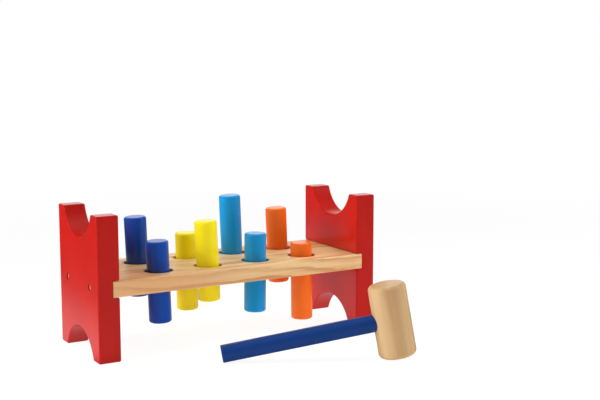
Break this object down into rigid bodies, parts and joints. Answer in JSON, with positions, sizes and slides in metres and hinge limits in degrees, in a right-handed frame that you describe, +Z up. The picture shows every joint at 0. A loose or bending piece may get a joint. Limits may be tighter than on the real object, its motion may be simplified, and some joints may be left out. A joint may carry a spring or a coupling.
{
  "type": "toy pounding bench",
  "caption": "Wooden pounding bench: coloured pegs slide in rubber-ringed holes of a board between two notched red side panels, with a wooden mallet standing in front.",
  "frame": {"origin": "on the table, in the middle of the area that the bench and its mallet take up together", "axes": "+X along the board to the bench's right end, +Y to the back, away from the mallet, +Z up"},
  "size_m": [0.253, 0.1998, 0.115],
  "materials": {
    "red_lacquer": "satin lacquer",
    "plain_wood": "clear satin lacquer",
    "dark_blue_lacquer": "satin lacquer",
    "yellow_lacquer": "satin lacquer",
    "light_blue_lacquer": "satin lacquer",
    "orange_lacquer": "satin lacquer",
    "black_rubber": "matte",
    "screw_metal": "satin",
    "mallet_wood": "clear satin lacquer",
    "handle_lacquer": "satin lacquer"
  },
  "bodies": {
    "bench": {"left_side_panel": "red_lacquer", "right_side_panel": "red_lacquer", "board": "plain_wood", "grip_ring_1_back": "black_rubber", "grip_ring_1_front": "black_rubber", "grip_ring_2_back": "black_rubber", "grip_ring_2_front": "black_rubber", "grip_ring_3_back": "black_rubber", "grip_ring_3_front": "black_rubber", "grip_ring_4_back": "black_rubber", "grip_ring_4_front": "black_rubber", "screw_left_back": "screw_metal", "screw_left_front": "screw_metal", "screw_right_back": "screw_metal", "screw_right_front": "screw_metal"},
    "peg_dark_blue_back": {"peg_dark_blue_back": "dark_blue_lacquer"},
    "peg_dark_blue_front": {"peg_dark_blue_front": "dark_blue_lacquer"},
    "peg_yellow_back": {"peg_yellow_back": "yellow_lacquer"},
    "peg_yellow_front": {"peg_yellow_front": "yellow_lacquer"},
    "peg_light_blue_back": {"peg_light_blue_back": "light_blue_lacquer"},
    "peg_light_blue_front": {"peg_light_blue_front": "light_blue_lacquer"},
    "peg_orange_back": {"peg_orange_back": "orange_lacquer"},
    "peg_orange_front": {"peg_orange_front": "orange_lacquer"},
    "mallet": {"mallet_head": "mallet_wood", "mallet_handle": "handle_lacquer"}
  },
  "joints": [
    {"name": "slide_dark_blue_back", "type": "slide", "parent": "bench", "child": "peg_dark_blue_back", "axis": [-0.038, 0, 0.9993], "range_m": [-0.0356, 0.0121]},
    {"name": "slide_dark_blue_front", "type": "slide", "parent": "bench", "child": "peg_dark_blue_front", "axis": [-0.0323, 0, 0.9995], "range_m": [-0.0214, 0.0264]},
    {"name": "slide_yellow_back", "type": "slide", "parent": "bench", "child": "peg_yellow_back", "axis": [-0.0118, 0, 0.9999], "range_m": [-0.0187, 0.0293]},
    {"name": "slide_yellow_front", "type": "slide", "parent": "bench", "child": "peg_yellow_front", "axis": [-0.0436, 0, 0.999], "range_m": [-0.0342, 0.0135]},
    {"name": "slide_light_blue_back", "type": "slide", "parent": "bench", "child": "peg_light_blue_back", "axis": [-0.0384, 0, 0.9993], "range_m": [-0.0475, 0]},
    {"name": "slide_light_blue_front", "type": "slide", "parent": "bench", "child": "peg_light_blue_front", "axis": [0.0131, 0, 0.9999], "range_m": [-0.0201, 0.0279]},
    {"name": "slide_orange_back", "type": "slide", "parent": "bench", "child": "peg_orange_back", "axis": [-0.0427, 0, 0.9991], "range_m": [-0.0332, 0.0144]},
    {"name": "slide_orange_front", "type": "slide", "parent": "bench", "child": "peg_orange_front", "axis": [-0.0135, 0, 0.9999], "range_m": [-0.0082, 0.0398]},
    {"name": "mallet_lift", "type": "slide", "parent": "bench", "child": "mallet", "axis": [0, 0, 1], "range_m": [0, 0.15]}
  ]
}
